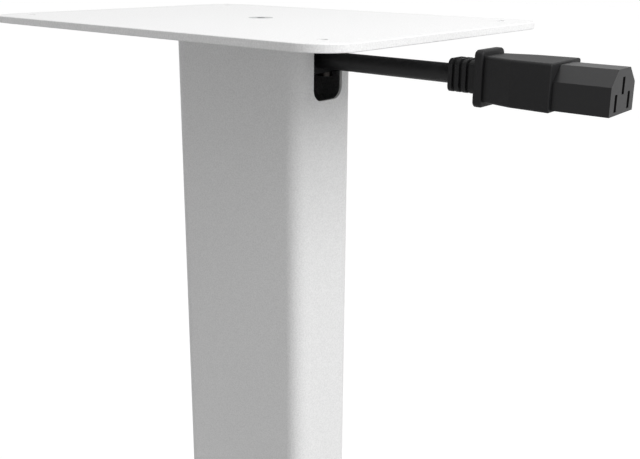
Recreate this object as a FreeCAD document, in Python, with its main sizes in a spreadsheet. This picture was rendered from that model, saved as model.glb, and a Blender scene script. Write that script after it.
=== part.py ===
"""Speaker stand: a steel plate on a rectangular column, with the speaker's mains lead inside it.

Millimetres, +Z up. The origin is on the floor under the column's axis. The speaker faces -Y, and
the lead leaves the column through slots in its rear face, towards +Y.
"""
import FreeCAD, Part
import math
import os

import Sketcher
from FreeCAD import Placement, Rotation, Vector

# Driving sizes, in millimetres. Each is a cell of the sheet, and everything below is tied to them.
DRIVING_SIZES = {
    # top plate
    "stand_height": 700.0,
    "plate_width": 173.0,
    "plate_depth": 230.0,
    "plate_thickness": 3.4,
    "plate_corner_radius": 17.5,
    "plate_edge_rounding": 0.4,
    "speaker_hole_diameter": 4.2,
    "speaker_hole_inset": 17.0,
    # column
    "column_width": 43.0,
    "column_depth": 89.0,
    "column_wall": 1.5,
    "column_corner_radius": 8.3,
    "slot_width": 21.6,
    "slot_height": 34.0,
    "slot_corner_radius": 6.0,
    # bracket, nut, tabs and screw at the top
    "weld_gap": 0.2,
    "bracket_thickness": 4.0,
    "bracket_length": 60.0,
    "bracket_rear_gap": 3.0,
    "bracket_corner_radius": 4.0,
    "plate_screw_diameter": 6.0,
    "plate_screw_length": 12.0,
    "plate_screw_head": 12.6,
    "plate_screw_head_height": 3.0,
    "plate_screw_socket": 4.0,
    "plate_screw_socket_depth": 2.4,
    "weld_nut_width": 10.0,
    "weld_nut_height": 5.0,
    "fit_clearance": 0.05,
    "tab_length": 13.0,
    "tab_height": 12.0,
    "tab_thickness": 2.0,
    "tab_clearance": 0.3,
    "tab_setback": 29.0,
    # cord and its clamp
    "cord_diameter": 8.6,
    "cord_drop": 18.0,
    "cord_bend_radius": 38.0,
    "cord_bend_setback": 3.0,
    "cord_floor_gap": 0.3,
    "clamp_width": 30.0,
    "clamp_length": 10.0,
    "clamp_rear_gap": 4.0,
    "clamp_split": 0.8,
    "clamp_bar_height": 6.5,
    "clamp_screw_diameter": 4.0,
    "clamp_screw_spacing": 21.0,
    "clamp_screw_head": 7.6,
    "clamp_screw_head_height": 2.4,
    # base
    "base_width": 250.0,
    "base_depth": 320.0,
    "base_thickness": 6.0,
    "base_corner_radius": 20.0,
    "base_edge_rounding": 1.0,
    "foot_inset": 22.0,
    "base_bracket_thickness": 8.0,
    "base_screw_diameter": 6.0,
    "base_screw_head": 12.0,
    "base_screw_head_height": 3.0,
    "base_screw_length": 12.0,
    "base_screw_spacing_x": 26.0,
    "base_screw_spacing_y": 64.0,
    "base_screw_socket": 4.0,
    "base_screw_socket_depth": 2.2,
    "cord_notch_width": 12.0,
    "cord_notch_front": 18.0,
    # feet
    "sole_thickness": 2.0,
    "pad_diameter": 30.0,
    "pad_thickness": 4.5,
    "pad_edge_rounding": 1.2,
    "stud_diameter": 8.0,
    "stud_flange_width": 13.0,
    "stud_flange_height": 3.2,
    "stud_spigot_depth": 3.0,
    "foot_travel": 6.0,
    "foot_top_gap": 0.3,
    "foot_socket": 4.0,
    "lock_nut_diameter": 16.0,
    "lock_nut_height": 5.0,
    # appliance connector
    "relief_width": 13.0,
    "relief_height": 14.0,
    "relief_corner_radius": 2.6,
    "rib_length": 1.9,
    "rib_pitch": 3.3,
    "rib_depth": 1.2,
    "relief_length": 13.6,
    "flange_width": 19.2,
    "flange_height": 23.6,
    "flange_thickness": 4.0,
    "flange_corner_radius": 2.4,
    "flange_edge_rounding": 1.0,
    "neck_width": 16.6,
    "body_height": 19.0,
    "kink_width": 25.2,
    "kink_length": 13.8,
    "shoulder_width": 27.9,
    "body_length": 31.3,
    "body_corner_radius": 1.2,
    "body_edge_rounding": 0.6,
    "insert_width": 24.1,
    "insert_height": 17.1,
    "insert_chamfer": 6.0,
    "insert_length": 22.6,
    "contact_slot_width": 2.4,
    "contact_slot_height": 6.6,
    "contact_slot_depth": 18.0,
    "contact_spacing": 13.2,
    "earth_slot_raise": 2.1,
    "line_slot_drop": 3.95,
    "contact_recess": 5.0,
    "contact_clearance": 0.2,
    "connector_reach": 70.1,
    # mains plug
    "plug_relief_length": 24.0,
    "plug_relief_start": 6.2,
    "plug_relief_end": 8.6,
    "plug_rib_depth": 1.0,
    "plug_grip_length": 32.0,
    "plug_grip_width": 32.0,
    "plug_grip_height": 26.0,
    "plug_front_diameter": 35.0,
    "plug_front_length": 17.0,
    "plug_notch_width": 6.0,
    "plug_notch_depth": 4.0,
    "plug_clip_width": 6.4,
    "plug_clip_thickness": 1.0,
    "plug_clip_recess": 1.3,
    "plug_clip_margin": 1.0,
    "plug_pin_diameter": 4.8,
    "plug_pin_length": 19.0,
    "plug_pin_spacing": 19.0,
    # stored coil
    "coil_inner_radius": 41.75,
    "coil_pitch": 9.4,
    "coil_layer_rise": 9.3,
}

doc = FreeCAD.newDocument("SpeakerStand")
sheet = doc.addObject("Spreadsheet::Sheet", "Sizes")
for row, (alias, number) in enumerate(DRIVING_SIZES.items(), start=1):
    sheet.set(f"A{row}", alias)
    sheet.set(f"B{row}", str(number))
    sheet.setAlias(f"B{row}", alias)
doc.recompute()


class Amount:
    """A length that carries its number and the sheet formula that it comes from."""

    def __init__(self, number, formula):
        self.number = float(number)
        self.formula = formula

    def joined(self, other, sign, number):
        return Amount(number, f"({self.formula} {sign} {as_amount(other).formula})")

    def __add__(self, other):
        return self.joined(other, "+", self.number + as_amount(other).number)

    def __sub__(self, other):
        return self.joined(other, "-", self.number - as_amount(other).number)

    def __mul__(self, other):
        return self.joined(other, "*", self.number * as_amount(other).number)

    def __truediv__(self, other):
        return self.joined(other, "/", self.number / as_amount(other).number)

    def __neg__(self):
        return Amount(0.0, "0") - self


def as_amount(value):
    return value if isinstance(value, Amount) else Amount(value, repr(float(value)))


class DrivingSizes:
    """Reads a driving size from the sheet by its alias."""

    def __getattr__(self, alias):
        return Amount(sheet.get(alias), f"Sizes.{alias}")


size = DrivingSizes()

# Levels and places that several pieces share.
plate_underside = size.stand_height - size.plate_thickness
bracket_underside = plate_underside - size.bracket_thickness
cord_height = size.stand_height - size.cord_drop
base_underside = (size.sole_thickness + size.pad_thickness + size.stud_flange_height
                  + size.foot_top_gap)
base_top = base_underside + size.base_thickness
column_rear = size.column_depth / 2
tube_inner_width = size.column_width - size.column_wall * 2
tube_inner_rear = column_rear - size.column_wall
cord_low_height = base_top + size.cord_diameter / 2 + size.cord_floor_gap
clamp_centre_y = tube_inner_rear - size.clamp_rear_gap - size.clamp_length / 2
cord_bend_y = clamp_centre_y - size.clamp_length / 2 - size.cord_bend_setback
cord_run_y = cord_bend_y - size.cord_bend_radius

PIECES = []


def bind(thing, prop, amount):
    """Tie one property to the sheet."""
    thing.setExpression(prop, as_amount(amount).formula)


def new_body(node, x=0, y=0, z=0, rotation=None, several=False):
    """A body for one node, placed by the sheet."""
    body = doc.addObject("PartDesign::Body", node)
    body.Label = node
    if several:
        body.AllowCompound = True
    start = Vector(as_amount(x).number, as_amount(y).number, as_amount(z).number)
    body.Placement = Placement(start, rotation or Rotation())
    for axis, amount in (("x", x), ("y", y), ("z", z)):
        bind(body, f"Placement.Base.{axis}", amount)
    PIECES.append(body)
    return body


def datum(body, role):
    return next(feature for feature in body.Origin.OriginFeatures if feature.Role == role)


def sketch_on(body, name, role="XY_Plane", lift=0, shift_x=0, shift_y=0):
    """A sketch on one of the body's own origin planes, moved along it and lifted off it."""
    sketch = body.newObject("Sketcher::SketchObject", f"{body.Name}_{name}")
    sketch.AttachmentSupport = [(datum(body, role), "")]
    sketch.MapMode = "FlatFace"
    for axis, amount in (("x", shift_x), ("y", shift_y), ("z", lift)):
        bind(sketch, f"AttachmentOffset.Base.{axis}", amount)
    return sketch


def dimension(sketch, amount, name, *constraint):
    """A named dimension of a sketch, tied to the sheet."""
    index = sketch.addConstraint(Sketcher.Constraint(*constraint, as_amount(amount).number))
    sketch.renameConstraint(index, name)
    bind(sketch, f"Constraints.{name}", amount)


def circle(sketch, diameter):
    """A circle on the sketch's origin."""
    radius = as_amount(diameter) / 2
    disc = sketch.addGeometry(Part.Circle(Vector(), Vector(0, 0, 1), radius.number))
    sketch.addConstraint(Sketcher.Constraint("Coincident", disc, 3, -1, 1))
    dimension(sketch, radius, f"Radius{disc}", "Radius", disc)


def rounded_rectangle(sketch, width, depth, radius):
    """A rectangle with four rounded corners, centred on the sketch's origin."""
    half_x = as_amount(width).number / 2
    half_y = as_amount(depth).number / 2
    turn = as_amount(radius).number
    sides = (((-1, -1), (1, -1)), ((1, -1), (1, 1)), ((1, 1), (-1, 1)), ((-1, 1), (-1, -1)))
    lines, corners = [], []
    for (ax, ay), (bx, by) in sides:
        along_x, along_y = (bx - ax) / 2 * turn, (by - ay) / 2 * turn
        start = Vector(ax * half_x + along_x, ay * half_y + along_y, 0)
        end = Vector(bx * half_x - along_x, by * half_y - along_y, 0)
        lines.append(sketch.addGeometry(Part.LineSegment(start, end)))
    for step, (sx, sy) in enumerate(((1, -1), (1, 1), (-1, 1), (-1, -1))):
        centre = Vector(sx * (half_x - turn), sy * (half_y - turn), 0)
        begin = math.radians(-90 + 90 * step)
        arc = Part.ArcOfCircle(Part.Circle(centre, Vector(0, 0, 1), turn), begin,
                               begin + math.pi / 2)
        corners.append(sketch.addGeometry(arc))
    for step in range(4):
        following = lines[(step + 1) % 4]
        sketch.addConstraint(Sketcher.Constraint("Tangent", lines[step], 2, corners[step], 1))
        sketch.addConstraint(Sketcher.Constraint("Tangent", corners[step], 2, following, 1))
        flat = "Horizontal" if step % 2 == 0 else "Vertical"
        sketch.addConstraint(Sketcher.Constraint(flat, lines[step]))
    for corner in corners[1:]:
        sketch.addConstraint(Sketcher.Constraint("Equal", corners[0], corner))
    sketch.addConstraint(
        Sketcher.Constraint("Symmetric", corners[0], 3, corners[2], 3, -1, 1))
    dimension(sketch, radius, "CornerRadius", "Radius", corners[0])
    dimension(sketch, width, "Width", "DistanceX", lines[3], 1, lines[1], 1)
    dimension(sketch, depth, "Depth", "DistanceY", lines[0], 1, lines[2], 1)


def outline(sketch, points):
    """A closed outline of straight lines through points measured from the sketch's origin."""
    spots = [(as_amount(x), as_amount(y)) for x, y in points]
    corners = [Vector(x.number, y.number, 0) for x, y in spots]
    sides = []
    for start, end in zip(corners, corners[1:] + corners[:1]):
        sides.append(sketch.addGeometry(Part.LineSegment(start, end)))
    for side, following in zip(sides, sides[1:] + sides[:1]):
        sketch.addConstraint(Sketcher.Constraint("Coincident", side, 2, following, 1))
    for side, (x, y) in zip(sides, spots):
        for letter, amount, axis in (("X", x, -2), ("Y", y, -1)):
            if amount.formula in ("0.0", "0"):
                sketch.addConstraint(Sketcher.Constraint("PointOnObject", side, 1, axis))
            else:
                dimension(sketch, amount, f"{letter}{side}", f"Distance{letter}", -1, 1, side, 1)


def rectangle(sketch, width, depth):
    """A sharp rectangle centred on the sketch's origin."""
    half_x, half_y = as_amount(width) / 2, as_amount(depth) / 2
    outline(sketch, [(-half_x, -half_y), (half_x, -half_y), (half_x, half_y), (-half_x, half_y)])


def hexagon(sketch, across_flats):
    """A regular hexagon, with two of its corners on the sketch's X axis."""
    flat = as_amount(across_flats) / 2
    reach = as_amount(across_flats) / math.sqrt(3.0)
    outline(sketch, [(reach, 0), (reach / 2, flat), (-reach / 2, flat), (-reach, 0),
                     (-reach / 2, -flat), (reach / 2, -flat)])


def pad(body, sketch, length, back=False):
    feature = body.newObject("PartDesign::Pad", f"{sketch.Name}_pad")
    feature.Profile = sketch
    bind(feature, "Length", length)
    feature.Reversed = back
    return feature


def pocket(body, sketch, depth, back=False):
    """Cuts down from the sketch, or up from it where back is true."""
    feature = body.newObject("PartDesign::Pocket", f"{sketch.Name}_pocket")
    feature.Profile = sketch
    bind(feature, "Length", depth)
    feature.Reversed = back
    return feature


def revolve(body, sketch, cut=False):
    """Turns a profile about the sketch's vertical axis."""
    kind = "PartDesign::Groove" if cut else "PartDesign::Revolution"
    feature = body.newObject(kind, f"{sketch.Name}_turned")
    feature.Profile = sketch
    feature.ReferenceAxis = (sketch, ["V_Axis"])
    feature.Angle = 360.0
    return feature


def grid(body, feature, pitch_x, pitch_y):
    """Repeats a feature at the four corners of a rectangle, starting from its lowest corner."""
    pattern = body.newObject("PartDesign::LinearPattern", f"{feature.Name}_grid")
    pattern.Originals = [feature]
    pattern.Direction = (datum(body, "X_Axis"), [""])
    pattern.Occurrences = 2
    bind(pattern, "Length", pitch_x)
    pattern.Direction2 = (datum(body, "Y_Axis"), [""])
    pattern.Occurrences2 = 2
    bind(pattern, "Length2", pitch_y)
    body.Tip = pattern
    return pattern


def row_of(body, feature, count, length, role="X_Axis"):
    """Repeats a feature along one axis over the given length."""
    pattern = body.newObject("PartDesign::LinearPattern", f"{feature.Name}_row")
    pattern.Originals = [feature]
    pattern.Direction = (datum(body, role), [""])
    pattern.Occurrences = count
    bind(pattern, "Length", length)
    body.Tip = pattern
    return pattern


def round_edges(body, feature, radius, wanted):
    """Rounds the edges of a feature for which wanted(edge) is true."""
    doc.recompute()
    names = [f"Edge{number}" for number, edge in enumerate(feature.Shape.Edges, start=1)
             if wanted(edge)]
    fillet = body.newObject("PartDesign::Fillet", f"{feature.Name}_rounded")
    fillet.Base = (feature, names)
    bind(fillet, "Radius", radius)
    return fillet


def lies_at(*levels):
    """Picks the edges that lie flat at one of the given heights in the body's own frame."""
    heights = [as_amount(level).number for level in levels]

    def wanted(edge):
        box = edge.BoundBox
        flat = box.ZLength < 1e-6
        return flat and any(abs(box.ZMin - height) < 1e-4 for height in heights)
    return wanted


# ---------------------------------------------------------------- top plate, its screw and tabs
# Laser-cut steel sheet with a countersunk centre hole and four clearance holes for the speaker.
top_plate = new_body("top_plate", z=plate_underside)
plate_outline = sketch_on(top_plate, "outline")
rounded_rectangle(plate_outline, size.plate_width, size.plate_depth, size.plate_corner_radius)
plate_sheet = pad(top_plate, plate_outline, size.plate_thickness)
round_edges(top_plate, plate_sheet, size.plate_edge_rounding, lies_at(0, size.plate_thickness))
speaker_spacing_x = size.plate_width - size.speaker_hole_inset * 2
speaker_spacing_y = size.plate_depth - size.speaker_hole_inset * 2
speaker_hole = sketch_on(top_plate, "speaker_hole", lift=size.plate_thickness,
                         shift_x=-speaker_spacing_x / 2, shift_y=-speaker_spacing_y / 2)
circle(speaker_hole, size.speaker_hole_diameter)
grid(top_plate, pocket(top_plate, speaker_hole, size.plate_thickness),
     speaker_spacing_x, speaker_spacing_y)
centre_hole = sketch_on(top_plate, "centre_hole", "XZ_Plane")
screw_hole_radius = size.plate_screw_diameter / 2 + size.fit_clearance
head_hole_radius = size.plate_screw_head / 2 + size.fit_clearance
head_seat = size.plate_thickness - size.plate_screw_head_height
outline(centre_hole, [(0, 0), (screw_hole_radius, 0), (screw_hole_radius, head_seat),
                      (head_hole_radius, size.plate_thickness), (0, size.plate_thickness)])
revolve(top_plate, centre_hole, cut=True)


def countersunk_profile(sketch, diameter, head, head_height, length, up=1):
    """Half the outline of a countersunk screw whose head is flush with the sketch's origin."""
    outline(sketch, [(0, 0), (head / 2, 0), (diameter / 2, head_height * -up),
                     (diameter / 2, length * -up), (0, length * -up)])


# Countersunk socket screw, flush with the plate's top.
plate_screw = new_body("plate_screw", z=size.stand_height)
screw_profile = sketch_on(plate_screw, "profile", "XZ_Plane")
countersunk_profile(screw_profile, size.plate_screw_diameter, size.plate_screw_head,
                    size.plate_screw_head_height, size.plate_screw_length)
revolve(plate_screw, screw_profile)
screw_socket = sketch_on(plate_screw, "socket")
hexagon(screw_socket, size.plate_screw_socket)
pocket(plate_screw, screw_socket, size.plate_screw_socket_depth)

# Two tabs welded under the plate. They reach into the tube and stop the plate from turning.
tab_spread = tube_inner_width - size.tab_clearance * 2 - size.tab_thickness
plate_tabs = new_body("plate_tabs", x=-tab_spread / 2, y=-size.tab_setback, z=plate_underside,
                      several=True)
tab_outline = sketch_on(plate_tabs, "outline")
rectangle(tab_outline, size.tab_thickness, size.tab_length)
tab = pad(plate_tabs, tab_outline, size.tab_height, back=True)
row_of(plate_tabs, tab, 2, tab_spread)

# ---------------------------------------------------------------- column
# Rectangular steel tube. A slot open to the end is cut in the rear wall at the top and bottom:
# each is the inner half of a rounded rectangle that is centred on the tube's end.
column_length = plate_underside - base_top
column = new_body("column", z=base_top)
tube_outer = sketch_on(column, "outer")
rounded_rectangle(tube_outer, size.column_width, size.column_depth, size.column_corner_radius)
pad(column, tube_outer, column_length)
tube_inner = sketch_on(column, "inner")
rounded_rectangle(tube_inner, tube_inner_width, size.column_depth - size.column_wall * 2,
                  size.column_corner_radius - size.column_wall)
pocket(column, tube_inner, column_length, back=True)
for slot_name, slot_level in (("top_slot", column_length), ("bottom_slot", 0)):
    slot = sketch_on(column, slot_name, "XZ_Plane", shift_y=slot_level)
    rounded_rectangle(slot, size.slot_width, size.slot_height * 2, size.slot_corner_radius)
    pocket(column, slot, size.column_depth)

# ---------------------------------------------------------------- bracket welded in the top
# A flat steel bar flush with the tube's end, with the weld nut for the plate's screw under it.
bracket_centre_y = tube_inner_rear - size.bracket_rear_gap - size.bracket_length / 2
clamp_hole_radius = size.clamp_screw_diameter / 2 + size.fit_clearance
top_bracket = new_body("top_bracket", z=bracket_underside)
bracket_outline = sketch_on(top_bracket, "outline", shift_y=bracket_centre_y)
rounded_rectangle(bracket_outline, tube_inner_width - size.weld_gap * 2, size.bracket_length,
                  size.bracket_corner_radius)
pad(top_bracket, bracket_outline, size.bracket_thickness)
bracket_hole = sketch_on(top_bracket, "screw_hole", lift=size.bracket_thickness)
circle(bracket_hole, screw_hole_radius * 2)
pocket(top_bracket, bracket_hole, size.bracket_thickness)
clamp_hole = sketch_on(top_bracket, "clamp_hole", lift=size.bracket_thickness,
                       shift_x=-size.clamp_screw_spacing / 2, shift_y=clamp_centre_y)
circle(clamp_hole, clamp_hole_radius * 2)
row_of(top_bracket, pocket(top_bracket, clamp_hole, size.bracket_thickness), 2,
       size.clamp_screw_spacing)

weld_nut = new_body("weld_nut", z=bracket_underside)
nut_outline = sketch_on(weld_nut, "outline")
hexagon(nut_outline, size.weld_nut_width)
pad(weld_nut, nut_outline, size.weld_nut_height, back=True)
nut_bore = sketch_on(weld_nut, "bore")
circle(nut_bore, screw_hole_radius * 2)
pocket(weld_nut, nut_bore, size.weld_nut_height)

# ---------------------------------------------------------------- cord clamp
# A nylon saddle and bar close on the cord just inside the slot, held up to the bracket.
saddle_height = bracket_underside - cord_height - size.clamp_split / 2
groove_radius = size.cord_diameter / 2 + size.fit_clearance


def clamp_half(node, level, height, up):
    """One half of the cord clamp, with its groove and its two screw holes."""
    half = new_body(node, y=clamp_centre_y, z=level)
    block = sketch_on(half, "block")
    rectangle(block, size.clamp_width, size.clamp_length)
    pad(half, block, height, back=not up)
    groove = sketch_on(half, "groove", "XZ_Plane", lift=-size.clamp_length / 2,
                       shift_y=size.clamp_split / 2 * (-1 if up else 1))
    circle(groove, groove_radius * 2)
    pocket(half, groove, size.clamp_length, back=True)
    hole = sketch_on(half, "hole", shift_x=-size.clamp_screw_spacing / 2)
    circle(hole, clamp_hole_radius * 2)
    row_of(half, pocket(half, hole, height, back=up), 2, size.clamp_screw_spacing)


clamp_half("cord_saddle", cord_height + size.clamp_split / 2, saddle_height, up=True)
clamp_half("cord_clamp", cord_height - size.clamp_split / 2, size.clamp_bar_height, up=False)

clamp_underside = cord_height - size.clamp_split / 2 - size.clamp_bar_height
clamp_screws = new_body("clamp_screws", x=-size.clamp_screw_spacing / 2, y=clamp_centre_y,
                        z=clamp_underside, several=True)
clamp_profile = sketch_on(clamp_screws, "profile", "XZ_Plane")
clamp_shank = size.clamp_screw_diameter / 2
clamp_reach = plate_underside - size.bracket_thickness / 2 - clamp_underside
outline(clamp_profile, [(0, -size.clamp_screw_head_height),
                        (size.clamp_screw_head / 2, -size.clamp_screw_head_height),
                        (size.clamp_screw_head / 2, 0), (clamp_shank, 0),
                        (clamp_shank, clamp_reach), (0, clamp_reach)])
row_of(clamp_screws, revolve(clamp_screws, clamp_profile), 2, size.clamp_screw_spacing)

# ---------------------------------------------------------------- base
# Steel plate on four adjustable feet, screwed from below into a bracket welded in the column.
base_plate = new_body("base_plate", z=base_underside)
base_outline = sketch_on(base_plate, "outline")
rounded_rectangle(base_outline, size.base_width, size.base_depth, size.base_corner_radius)
base_sheet = pad(base_plate, base_outline, size.base_thickness)
round_edges(base_plate, base_sheet, size.base_edge_rounding, lies_at(0, size.base_thickness))
foot_x = size.base_width / 2 - size.foot_inset
foot_y = size.base_depth / 2 - size.foot_inset
stud_hole_radius = size.stud_diameter / 2 + size.fit_clearance
stud_hole = sketch_on(base_plate, "stud_hole", lift=size.base_thickness, shift_x=-foot_x,
                      shift_y=-foot_y)
circle(stud_hole, stud_hole_radius * 2)
grid(base_plate, pocket(base_plate, stud_hole, size.base_thickness), foot_x * 2, foot_y * 2)
base_screw_hole_radius = size.base_screw_diameter / 2 + size.fit_clearance
base_hole = sketch_on(base_plate, "screw_hole", lift=size.base_thickness,
                      shift_x=-size.base_screw_spacing_x / 2,
                      shift_y=-size.base_screw_spacing_y / 2)
circle(base_hole, base_screw_hole_radius * 2)
grid(base_plate, pocket(base_plate, base_hole, size.base_thickness),
     size.base_screw_spacing_x, size.base_screw_spacing_y)

screw_seat = sketch_on(base_plate, "screw_seat", "XZ_Plane", lift=size.base_screw_spacing_y / 2,
                       shift_x=-size.base_screw_spacing_x / 2)
outline(screw_seat, [(0, 0), (size.base_screw_head / 2 + size.fit_clearance, 0),
                     (base_screw_hole_radius, size.base_screw_head_height),
                     (0, size.base_screw_head_height)])
grid(base_plate, revolve(base_plate, screw_seat, cut=True), size.base_screw_spacing_x,
     size.base_screw_spacing_y)

base_screws = new_body("base_screws", x=-size.base_screw_spacing_x / 2,
                       y=-size.base_screw_spacing_y / 2, z=base_underside, several=True)
base_screw_profile = sketch_on(base_screws, "profile", "XZ_Plane")
countersunk_profile(base_screw_profile, size.base_screw_diameter, size.base_screw_head,
                    size.base_screw_head_height, size.base_screw_length, up=-1)
base_screw = revolve(base_screws, base_screw_profile)
base_socket = sketch_on(base_screws, "socket")
hexagon(base_socket, size.base_screw_socket)
base_socket_cut = pocket(base_screws, base_socket, size.base_screw_socket_depth, back=True)
base_screw_group = grid(base_screws, base_screw, size.base_screw_spacing_x,
                        size.base_screw_spacing_y)
base_screw_group.Originals = [base_screw, base_socket_cut]

# Thick plate welded in the tube's lower end, tapped for the base screws and notched for the cord.
NOTCH_ROUNDNESS = 0.45
bottom_bracket = new_body("bottom_bracket", z=base_top)
bottom_outline = sketch_on(bottom_bracket, "outline")
rounded_rectangle(bottom_outline, tube_inner_width - size.weld_gap * 2,
                  (tube_inner_rear - size.weld_gap) * 2,
                  size.column_corner_radius - size.column_wall)
pad(bottom_bracket, bottom_outline, size.base_bracket_thickness)
notch_length = tube_inner_rear + size.cord_notch_front
cord_notch = sketch_on(bottom_bracket, "cord_notch", lift=size.base_bracket_thickness,
                       shift_y=tube_inner_rear)
rounded_rectangle(cord_notch, size.cord_notch_width, notch_length * 2,
                  size.cord_notch_width * NOTCH_ROUNDNESS)
pocket(bottom_bracket, cord_notch, size.base_bracket_thickness)
tapped_hole = sketch_on(bottom_bracket, "tapped_hole", lift=size.base_bracket_thickness,
                        shift_x=-size.base_screw_spacing_x / 2,
                        shift_y=-size.base_screw_spacing_y / 2)
circle(tapped_hole, base_screw_hole_radius * 2)
grid(bottom_bracket, pocket(bottom_bracket, tapped_hole, size.base_bracket_thickness),
     size.base_screw_spacing_x, size.base_screw_spacing_y)

# Round lock nuts on the base plate, one over each stud.
lock_nuts = new_body("lock_nuts", x=-foot_x, y=-foot_y, z=base_top, several=True)
lock_profile = sketch_on(lock_nuts, "profile", "XZ_Plane")
lock_radius = size.lock_nut_diameter / 2
lock_bevel = size.lock_nut_height / 8
outline(lock_profile, [(stud_hole_radius, 0), (lock_radius, 0),
                       (lock_radius, size.lock_nut_height - lock_bevel),
                       (lock_radius - lock_bevel, size.lock_nut_height),
                       (stud_hole_radius, size.lock_nut_height)])
grid(lock_nuts, revolve(lock_nuts, lock_profile), foot_x * 2, foot_y * 2)

# ---------------------------------------------------------------- feet
# A threaded stud turns in the base plate and pushes its pad down; the sole is bonded to the pad.
pad_top = size.sole_thickness + size.pad_thickness
flange_top = pad_top + size.stud_flange_height
stud_top = base_top + size.lock_nut_height + size.foot_travel


def build_foot(corner, side_x, side_y):
    """The sole, pad and stud of one foot."""
    x, y = foot_x * side_x, foot_y * side_y
    sole = new_body(f"foot_sole_{corner}", x=x, y=y)
    sole_outline = sketch_on(sole, "outline")
    circle(sole_outline, size.pad_diameter - size.pad_edge_rounding * 2)
    pad(sole, sole_outline, size.sole_thickness)

    foot_pad = new_body(f"foot_pad_{corner}", x=x, y=y, z=size.sole_thickness)
    pad_outline = sketch_on(foot_pad, "outline")
    circle(pad_outline, size.pad_diameter)
    pad_disc = pad(foot_pad, pad_outline, size.pad_thickness)
    round_edges(foot_pad, pad_disc, size.pad_edge_rounding, lies_at(size.pad_thickness))
    spigot_hole = sketch_on(foot_pad, "spigot_hole", lift=size.pad_thickness)
    circle(spigot_hole, stud_hole_radius * 2)
    pocket(foot_pad, spigot_hole, size.stud_spigot_depth + size.fit_clearance)

    stud = new_body(f"foot_stud_{corner}", x=x, y=y, z=pad_top)
    flange = sketch_on(stud, "flange")
    hexagon(flange, size.stud_flange_width)
    pad(stud, flange, size.stud_flange_height)
    shank = sketch_on(stud, "shank", lift=size.stud_flange_height)
    circle(shank, size.stud_diameter)
    pad(stud, shank, stud_top - flange_top)
    spigot = sketch_on(stud, "spigot")
    circle(spigot, size.stud_diameter)
    pad(stud, spigot, size.stud_spigot_depth, back=True)
    key = sketch_on(stud, "key_socket", lift=stud_top - pad_top)
    hexagon(key, size.foot_socket)
    pocket(stud, key, size.foot_socket)


FOOT_CORNERS = {"front_left": (1, -1), "front_right": (-1, -1),
                "rear_left": (1, 1), "rear_right": (-1, 1)}
for corner, (side_x, side_y) in FOOT_CORNERS.items():
    build_foot(corner, side_x, side_y)

# ---------------------------------------------------------------- appliance connector
# Built along its own Z axis from the cord's end, then laid level so that it points to the rear.
laid_level = Rotation(Vector(-1, 0, 0), Vector(0, 0, 1), Vector(0, 1, 0), "ZYX")
connector_start = column_rear + size.connector_reach
flange_start = size.relief_length
neck_start = flange_start + size.flange_thickness
shoulder = neck_start + size.body_length

RELIEF_RINGS = 3
overmould = new_body("iec_overmould", y=connector_start, z=cord_height, rotation=laid_level)
flange = sketch_on(overmould, "flange", lift=flange_start)
rounded_rectangle(flange, size.flange_width, size.flange_height, size.flange_corner_radius)
flange_pad = pad(overmould, flange, size.flange_thickness)
round_edges(overmould, flange_pad, size.flange_edge_rounding, lies_at(flange_start, neck_start))
core = sketch_on(overmould, "core")
core_cut = size.rib_depth * 2
rounded_rectangle(core, size.relief_width - core_cut, size.relief_height - core_cut,
                  size.relief_corner_radius - size.rib_depth / 2)
pad(overmould, core, flange_start)
rib = sketch_on(overmould, "rib")
rounded_rectangle(rib, size.relief_width, size.relief_height, size.relief_corner_radius)
rib_pad = pad(overmould, rib, size.rib_length)
row_of(overmould, rib_pad, RELIEF_RINGS, size.rib_pitch * (RELIEF_RINGS - 1), "Z_Axis")
collar_start = size.rib_pitch * RELIEF_RINGS
collar = sketch_on(overmould, "collar", lift=collar_start)
rounded_rectangle(collar, size.relief_width, size.relief_height, size.relief_corner_radius)
pad(overmould, collar, flange_start - collar_start)
sections = []
for name, width, lift in (("neck", size.neck_width, neck_start),
                          ("kink", size.kink_width, neck_start + size.kink_length),
                          ("shoulder", size.shoulder_width, shoulder)):
    section = sketch_on(overmould, name, lift=lift)
    rounded_rectangle(section, width, size.body_height, size.body_corner_radius)
    sections.append(section)
grip = overmould.newObject("PartDesign::AdditiveLoft", "overmould_grip")
grip.Profile = sections[0]
grip.Sections = sections[1:]
grip.Ruled = True
round_edges(overmould, grip, size.body_edge_rounding, lies_at(shoulder))

insert = new_body("iec_insert", y=connector_start + shoulder, z=cord_height,
                  rotation=laid_level)
insert_outline = sketch_on(insert, "outline")
half_width, half_height = size.insert_width / 2, size.insert_height / 2
chamfer = size.insert_chamfer
outline(insert_outline, [(-half_width, -half_height), (half_width, -half_height),
                         (half_width, half_height - chamfer),
                         (half_width - chamfer, half_height),
                         (chamfer - half_width, half_height),
                         (-half_width, half_height - chamfer)])
pad(insert, insert_outline, size.insert_length)
contact_places = (("line", -size.contact_spacing / 2, -size.line_slot_drop),
                  ("earth", Amount(0, "0"), size.earth_slot_raise),
                  ("neutral", size.contact_spacing / 2, -size.line_slot_drop))
for name, x, y in contact_places:
    opening = sketch_on(insert, f"{name}_slot", lift=size.insert_length, shift_x=x, shift_y=y)
    rectangle(opening, size.contact_slot_width, size.contact_slot_height)
    pocket(insert, opening, size.contact_slot_depth)

# Folded brass contacts at the bottom of the three slots.
slot_bottom = shoulder + size.insert_length - size.contact_slot_depth
contacts = new_body("iec_contacts", y=connector_start + slot_bottom, z=cord_height,
                    rotation=laid_level, several=True)
for name, x, y in contact_places:
    strip = sketch_on(contacts, name, shift_x=x, shift_y=y)
    rectangle(strip, size.contact_slot_width - size.contact_clearance * 2,
              size.contact_slot_height - size.contact_clearance * 2)
    pad(contacts, strip, size.contact_slot_depth - size.contact_recess)


# ---------------------------------------------------------------- cord
TANGENT_SHARE = 0.45
STRAIGHT = 1e-7


def unit(vector):
    return Vector(vector).normalize()


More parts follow.
